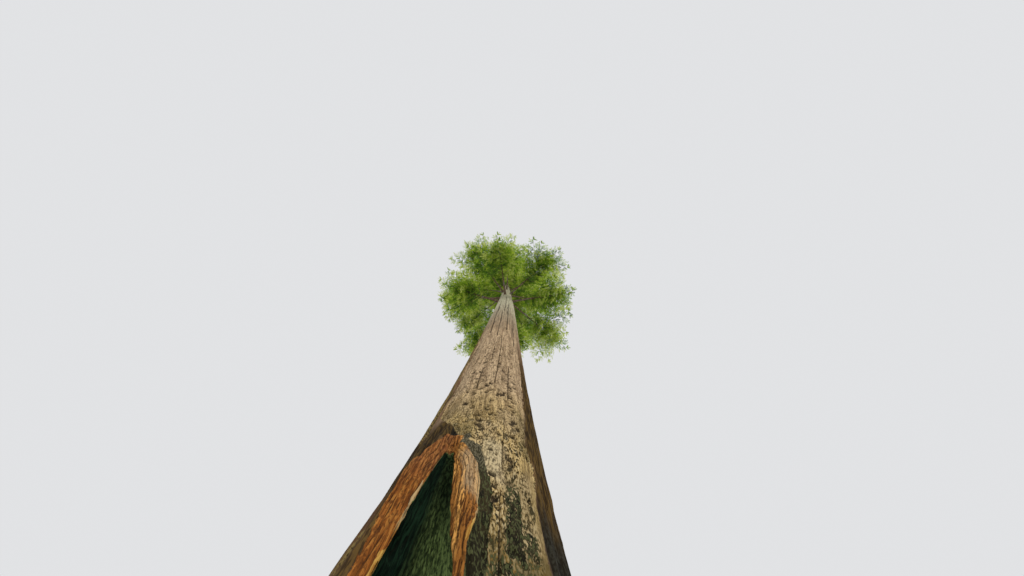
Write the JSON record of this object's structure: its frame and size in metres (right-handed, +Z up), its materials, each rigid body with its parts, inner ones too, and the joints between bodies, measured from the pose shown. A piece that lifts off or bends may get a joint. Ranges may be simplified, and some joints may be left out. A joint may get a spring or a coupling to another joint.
{
  "type": "redwood tree",
  "caption": "Tall old redwood with a flared trunk, a fire hollow at its foot, a long bare stem and a narrow crown of drooping sprays.",
  "frame": {"origin": "in the flat cut under the trunk at ground level, on the line that the trunk stands on", "axes": "+Z up along the trunk, -Y towards the side with the fire hollow, +X to the right of someone who looks at the hollow"},
  "size_m": [6.6447, 6.776, 40],
  "materials": {
    "bark": "rough fibrous bark and weathered wood",
    "limb_bark": "rough thin bark",
    "needles": "leafy, slightly translucent"
  },
  "bodies": {
    "root": {"trunk": "bark", "bough_01": "limb_bark", "bough_02": "limb_bark", "bough_03": "limb_bark", "bough_04": "limb_bark", "bough_05": "limb_bark", "bough_06": "limb_bark", "bough_07": "limb_bark", "bough_08": "limb_bark", "bough_09": "limb_bark", "bough_10": "limb_bark", "bough_11": "limb_bark", "bough_12": "limb_bark", "bough_13": "limb_bark", "bough_14": "limb_bark", "bough_15": "limb_bark", "bough_16": "limb_bark", "foliage_01": "needles", "foliage_02": "needles", "foliage_03": "needles", "foliage_04": "needles", "foliage_05": "needles", "foliage_06": "needles", "foliage_07": "needles", "foliage_08": "needles", "foliage_09": "needles", "foliage_10": "needles", "foliage_11": "needles", "foliage_12": "needles", "foliage_13": "needles", "foliage_14": "needles", "foliage_15": "needles", "foliage_16": "needles", "foliage_17": "needles", "foliage_18": "needles", "foliage_19": "needles", "foliage_20": "needles", "foliage_21": "needles", "foliage_22": "needles", "foliage_23": "needles", "foliage_24": "needles", "foliage_25": "needles", "foliage_26": "needles", "foliage_27": "needles", "foliage_28": "needles", "foliage_29": "needles", "foliage_30": "needles", "foliage_31": "needles", "foliage_32": "needles", "foliage_33": "needles", "foliage_34": "needles", "foliage_35": "needles", "foliage_36": "needles", "foliage_37": "needles", "foliage_38": "needles", "foliage_39": "needles", "foliage_40": "needles", "foliage_41": "needles", "foliage_top": "needles"}
  },
  "joints": []
}
